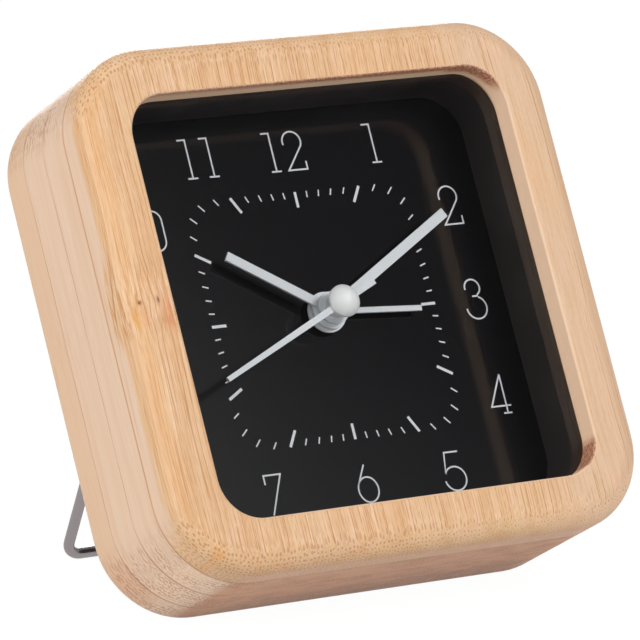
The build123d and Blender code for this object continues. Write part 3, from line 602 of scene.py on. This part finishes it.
def winding():
    """Turns of enamelled wire, side by side along the coil; each turn's colour darkens into the grooves
    between turns, as painted shade.
    """
    shade = Shade("copper_wire")
    turns = shade.add("TexWave", {"Vector": shade.place(), "Scale": 1.6, "Distortion": 0.4, "Detail": 1.0},
                      bands_direction="X").outputs["Fac"]
    # Painted shade: the copper is darker where the turns dip into the grooves
    return shade.finish(Base_Color=shade.mix(turns, colour(120, 52, 22), colour(214, 122, 70)), Metallic=0.85,
                        Roughness=0.32, Normal=shade.bump(turns, 0.08))


def dial_black():
    """The dial's gloss black enamel."""
    shade = Shade("black_dial")
    place = shade.place()
    dust = shade.noise(place, scale=0.6, detail=2.0)
    cloud = shade.noise(place, scale=0.03, detail=1.0)
    return shade.finish(Base_Color=shade.mix(cloud, colour(11, 10, 13), colour(16, 15, 19)),
                        Roughness=shade.step(dust, 0.4, 0.8, 0.11, 0.12))


def board_green():
    """Green lacquer over the board's tracks."""
    shade = Shade("board_green")
    place = shade.place()
    tracks = shade.add("TexBrick", {"Vector": place, "Scale": 0.35, "Mortar Size": 0.03}).outputs["Fac"]
    return shade.finish(Base_Color=shade.mix(tracks, colour(24, 84, 46), colour(46, 120, 66)), Roughness=0.35,
                        Normal=shade.bump(tracks, 0.03))


MATERIALS = {
    "bamboo": bamboo,
    "clear_lens": clear_lens,
    "black_moulding": lambda: plastic("black_moulding", colour(44, 38, 38)),
    "black_dial": dial_black,
    "black_cover": lambda: plastic("black_cover", colour(40, 40, 42), (0.45, 0.6), 7.0, 0.03),
    "grey_hand": lambda: plastic("grey_hand", colour(214, 217, 221), (0.3, 0.38), 6.0, 0.003),
    "grey_collet": lambda: plastic("grey_collet", colour(230, 234, 238), (0.3, 0.36), 1.0, 0.003,
                                   Subsurface_Weight=0.2, Subsurface_Radius=(0.001, 0.001, 0.001)),
    "white_cap": lambda: plastic("white_cap", colour(240, 240, 240), (0.42, 0.48), 2.0, 0.002,
                                 Subsurface_Weight=0.15, Subsurface_Radius=(0.002, 0.002, 0.002)),
    "satin_steel": lambda: metal("satin_steel", colour(152, 144, 144), (0.26, 0.4), (0.2, 0.2, 0.2), 12.0),
    "screw_steel": lambda: metal("screw_steel", colour(170, 170, 172)),
    "white_gear": lambda: plastic("white_gear", colour(238, 235, 226), (0.4, 0.5), 3.0, 0.006,
                                  Subsurface_Weight=0.1, Subsurface_Radius=(0.002, 0.002, 0.002)),
    "brass_gear": lambda: metal("brass_gear", colour(218, 184, 110), (0.2, 0.32)),
    "grey_housing": lambda: plastic("grey_housing", colour(170, 174, 177), (0.4, 0.52), 5.0, 0.015),
    "magnet": lambda: metal("magnet", colour(96, 96, 99), (0.5, 0.6), (1, 1, 1), 5.0, 0.01),
    "core_iron": lambda: metal("core_iron", colour(176, 176, 180), (0.3, 0.42), (1, 1, 1), 8.0),
    "copper_wire": winding,
    "board_green": board_green,
    "black_resin": lambda: plastic("black_resin", colour(26, 26, 26), (0.18, 0.3), 1.5, 0.02),
    "tin_plate": lambda: metal("tin_plate", colour(212, 212, 210), (0.2, 0.3)),
    "cell_jacket": lambda: plastic("cell_jacket", colour(120, 124, 130), (0.2, 0.3), 3.0, 0.004),
    "white_slider": lambda: plastic("white_slider", colour(228, 228, 224), (0.3, 0.4), 4.0, 0.006),
}


def dress(piece, material):
    """Gives a piece one material, in place of what it had."""
    piece.data.materials.clear()
    piece.data.materials.append(material)


made = {}
for subpart in frame["record"]["subparts"]:
    slot = subpart["material_slot"]
    if slot not in made:
        made[slot] = MATERIALS[slot]()
    dress(nodes[subpart["node"]], made[slot])


# The dial's print: numerals as thin strokes, and hour and minute ticks on a rounded square

print_thickness = 0.02
numeral_stroke = 0.3
numeral_half = 3.6
hour_tick_width = 0.52
minute_tick_width = 0.25
track_outer = 23.0
track_inner = 20.1
track_corner = 6.0
minute_share = 0.4
curve_step = 12.0
sharpest_mitre = 0.35
closing_share = 0.1
minutes = 60
hour_tick_every = 5
print_right = 0.42
print_drop = 0.05
print_turn = radians(0.4)


def print_white():
    """Matt white ink, slightly uneven."""
    shade = Shade("print_white")
    patchy = shade.noise(shade.place(), scale=3.0, detail=2.0)
    return shade.finish(Base_Color=shade.mix(patchy, colour(218, 220, 224), colour(232, 234, 238)),
                        Roughness=0.5)


ink = print_white()


def arc(centre, radius, start, end, squash=1.0):
    """Points on an arc, from one direction to another in degrees, anticlockwise where end is larger."""
    count = max(2, round(abs(end - start) / curve_step))
    turns = [radians(start + (end - start) * number / count) for number in range(count + 1)]
    return [(centre[0] + radius * cos(turn), centre[1] + radius * squash * sin(turn)) for turn in turns]


def printed_place(point, depth):
    """Where a point of the print lies: it is set a little to the right of the clock's axis, and turned."""
    x = point.x * cos(print_turn) + point.y * sin(print_turn) + print_right
    z = point.y * cos(print_turn) - point.x * sin(print_turn) - print_drop
    return on_dial(x, z, depth)


def numeral_one():
    return [[(-1.55, numeral_half), (0, numeral_half), (0, -numeral_half)],
            [(-1.0, -numeral_half), (1.0, -numeral_half)]]


def numeral_two():
    bowl = arc((-0.05, 1.7), 1.88, 196, -30)
    return [bowl + [(-1.9, -numeral_half), (1.95, -numeral_half), (1.95, -2.1)]]


def numeral_three():
    return [arc((0, 2.17), 1.55, 190, -64), [(-0.4, 0.57), (0.8, 0.57)], arc((0, -1.6), 2.1, 68, -179)]


def numeral_four():
    return [[(1.0, numeral_half), (1.0, -numeral_half)], [(0.15, -numeral_half), (1.85, -numeral_half)],
            [(1.0, numeral_half), (-2.1, -2.23), (2.0, -2.23)]]


def numeral_five():
    return [[(1.5, numeral_half), (-1.3, numeral_half), (-1.85, 0)] + arc((-0.1, -1.3), 2.2, 143, -172)]


def numeral_six():
    return [arc((0.17, -0.98), 2.02, 0, 360, 2.3 / 2.02), [(0.29, numeral_half), (-1.66, 0.0)]]


def numeral_seven():
    return [[(-1.67, 1.95), (-1.67, numeral_half), (1.75, numeral_half), (-1.37, -numeral_half)]]


def numeral_eight():
    return [arc((0, 2.0), 1.6, 0, 360), arc((0, -1.6), 2.0, 0, 360)]


def numeral_nine():
    return [[(-x, -z) for x, z in stroke] for stroke in numeral_six()]


def numeral_nought():
    side = 1.85
    return [arc((0, 1.85), side, 0, 180) + arc((0, -1.85), side, 180, 360) + [(side, 1.85)]]


DIGITS = [numeral_nought, numeral_one, numeral_two, numeral_three, numeral_four, numeral_five, numeral_six,
          numeral_seven, numeral_eight, numeral_nine]

# Each numeral's middle on the dial, then its digits and how far each stands to the right of it
NUMERALS = {
    "12": ((0, 30.65), ((1, -2.53), (2, 1.9))),
    "1": ((18.4, 30.7), ((1, 0),)),
    "2": ((31.15, 17.8), ((2, 0),)),
    "3": ((31.4, -0.1), ((3, 0),)),
    "4": ((31.4, -18), ((4, 0),)),
    "5": ((18.35, -31), ((5, 0),)),
    "6": ((0, -31.3), ((6, 0),)),
    "7": ((-18.4, -31.1), ((7, 0),)),
    "8": ((-31.7, -18), ((8, 0),)),
    "9": ((-31.7, 0), ((9, 0),)),
    "10": ((-31.7, 18.35), ((1, -2.3), (0, 1.97))),
    "11": ((-17.4, 30.8), ((1, -2.18), (1, 2.18))),
}


def ribbon(stroke, width):
    """The two edges of a stroke of the given width, mitred at its bends."""
    closed = hypot(stroke[0][0] - stroke[-1][0], stroke[0][1] - stroke[-1][1]) < width * closing_share
    points = [Vector(point) for point in (stroke[:-1] if closed else stroke)]
    left, right_side = [], []
    for number, point in enumerate(points):
        before = points[number - 1] if closed or number else None
        after = points[(number + 1) % len(points)] if closed or number + 1 < len(points) else None
        into = (point - before).normalized() if before is not None else (after - point).normalized()
        out = (after - point).normalized() if after is not None else into
        along = (into + out).normalized()
        reach = width / 2 / max(sharpest_mitre, along.dot(into))
        across = Vector((-along.y, along.x)) * reach
        left.append(point + across)
        right_side.append(point - across)
    return left, right_side, closed


def printed(name, strokes):
    """A thin closed ribbon on the dial for each stroke, as one piece."""
    vertices, faces = [], []
    for stroke, width in strokes:
        left, right_side, closed = ribbon(stroke, width)
        first, count = len(vertices), len(left)
        for side in (left, right_side):
            for depth in (-print_thickness, 0.0):
                vertices += [printed_place(point, depth) for point in side]
        left_top, left_low, right_top, right_low = (first + number * count for number in range(4))
        for number in range(count if closed else count - 1):
            after = (number + 1) % count
            for one, other in ((left_top, right_top), (right_top, right_low), (right_low, left_low),
                               (left_low, left_top)):
                faces.append((one + number, other + number, other + after, one + after))
        if not closed:
            last = count - 1
            faces.append((left_top, left_low, right_low, right_top))
            faces.append((left_top + last, right_top + last, right_low + last, left_low + last))
    mesh = bpy.data.meshes.new(name)
    mesh.from_pydata(vertices, [], faces)
    mesh.update()
    piece = bpy.data.objects.new(name, mesh)
    bpy.context.scene.collection.objects.link(piece)
    dress(piece, ink)
    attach(piece, "clock_case")
    return piece


def track_point(angle, half):
    """Where a ray from the dial's middle, clockwise from twelve in degrees, meets a rounded square."""
    across, rise = sin(radians(angle)), cos(radians(angle))
    reach = half / max(abs(across), abs(rise))
    x, z = abs(across) * reach, abs(rise) * reach
    inner = half - track_corner
    if x > inner and z > inner:
        toward = abs(across) * inner + abs(rise) * inner
        reach = toward + (toward**2 - 2 * inner**2 + track_corner**2) ** 0.5
    return Vector((across * reach, rise * reach))


for name, (centre, digits) in NUMERALS.items():
    printed(f"numeral_{name}", [([(centre[0] + offset + x, centre[1] + z) for x, z in stroke], numeral_stroke)
                                for digit, offset in digits for stroke in DIGITS[digit]()])

hour_ticks, minute_ticks = [], []
for minute in range(minutes):
    angle = minute * 360 / minutes
    outer = track_point(angle, track_outer)
    inner = track_point(angle, track_inner)
    if minute % hour_tick_every == 0:
        hour_ticks.append(([inner, outer], hour_tick_width))
    else:
        minute_ticks.append(([outer.lerp(inner, minute_share), outer], minute_tick_width))
printed("hour_ticks", hour_ticks)
printed("minute_ticks", minute_ticks)


# Floor, light and camera

floor_half = 3.0
floor_grey = 0.66
floor_glow = 1.05
glow_share = 0.93


def white_floor():
    """Shows pure white to the camera and in reflections, and keeps the object's shadow."""
    shade = Shade("studio_floor")
    paper = shade.add("BsdfDiffuse", {"Color": (floor_grey, floor_grey, floor_grey, 1.0)})
    glow = shade.add("Emission", {"Color": (1, 1, 1, 1), "Strength": floor_glow})
    path = shade.add("LightPath").outputs
    seen = shade.larger(path["Is Glossy Ray"], path["Is Transmission Ray"])
    seen = shade.times(shade.larger(path["Is Camera Ray"], seen), glow_share)
    return shade.show(shade.add("MixShader", {0: seen, 1: paper.outputs[0], 2: glow.outputs[0]}))


floor_mesh = bpy.data.meshes.new("floor")
floor_corners = [(side * floor_half, end * floor_half, 0)
                 for side, end in ((-1, -1), (1, -1), (1, 1), (-1, 1))]
floor_mesh.from_pydata(floor_corners, [], [(0, 1, 2, 3)])
floor = bpy.data.objects.new("floor", floor_mesh)
bpy.context.scene.collection.objects.link(floor)
dress(floor, white_floor())

# The studio is white all round to the camera. It lights the clock evenly, but for a darker room over the
# photographer's right shoulder, which the dial mirrors, and whose lower left part is lighter.
room_direction = Vector((0.519, -0.634, 0.573))
room_edge = (0.88, 0.98)
studio_level = 0.5
room_level = 0.06
lit_part_edge = (-0.005, 0.05)
lit_part_levels = (0.05, 0.26)


def studio():
    """The world: one level of light all round, a darker patch, and a lighter side to that patch."""
    shade = Shade("studio", bpy.data.worlds, "OutputWorld")
    direction = shade.add("TexCoord").outputs["Generated"]
    level = shade.step(shade.dot(direction, room_direction), *room_edge, studio_level, room_level)
    low_left = -(right + up_dial).normalized()
    middle = low_left.dot(room_direction)
    start, end = (middle + edge for edge in lit_part_edge)
    lit_part = shade.step(shade.dot(direction, low_left), start, end, *lit_part_levels)
    strength = shade.larger(shade.add("LightPath").outputs["Is Camera Ray"], shade.larger(level, lit_part))
    return shade.show(shade.add("Background", {"Color": (1, 1, 1, 1), "Strength": strength}))


bpy.context.scene.world = studio()


def soft_light(name, place, size, power, target):
    """A square lamp that points at the target, in metres and watts."""
    lamp = bpy.data.lights.new(name, "AREA")
    lamp.size = size
    lamp.energy = power
    holder = bpy.data.objects.new(name, lamp)
    holder.location = place
    holder.rotation_euler = (Vector(target) - Vector(place)).to_track_quat("-Z", "Y").to_euler()
    bpy.context.scene.collection.objects.link(holder)


key_distance = 1.5
key_right = 0.3
key_rise = 0.14
key_place = face_centre + (right * key_right + up_dial * key_rise - into_dial).normalized() * key_distance
# Each lamp's name, place, width and power; all three point at the middle of the clock's face
LAMPS = [("key_light", key_place, 0.35, 10.5),
         ("side_light", (-1.3, -0.2, 0.45), 0.5, 8.4),
         ("back_light", (0.7, 1.5, 0.2), 0.6, 9.0)]
for lamp in LAMPS:
    soft_light(*lamp, face_centre)

# The camera stands where the photograph was taken from, to the clock's left and a little above it
camera_place = Vector((-0.5011, -0.8228, 0.2373))
focal_length = 312.5
sensor_width = 36.0
image_size = 640
face_pixel = (366.9, 285.7)

sight = (face_centre - camera_place).normalized()
camera_right = sight.cross(Vector((0, 0, 1))).normalized()
camera_up = camera_right.cross(sight)
per_pixel = (face_centre - camera_place).length * sensor_width / image_size / focal_length
target = (face_centre - camera_right * (face_pixel[0] - image_size / 2) * per_pixel
          - camera_up * (image_size / 2 - face_pixel[1]) * per_pixel)
camera = bpy.data.objects.new("camera", bpy.data.cameras.new("camera"))
camera.data.lens = focal_length
camera.data.sensor_width = sensor_width
camera.location = camera_place
camera.rotation_euler = (target - camera_place).to_track_quat("-Z", "Y").to_euler()
bpy.context.scene.collection.objects.link(camera)
bpy.context.scene.camera = camera
bpy.context.scene.view_settings.view_transform = "Standard"
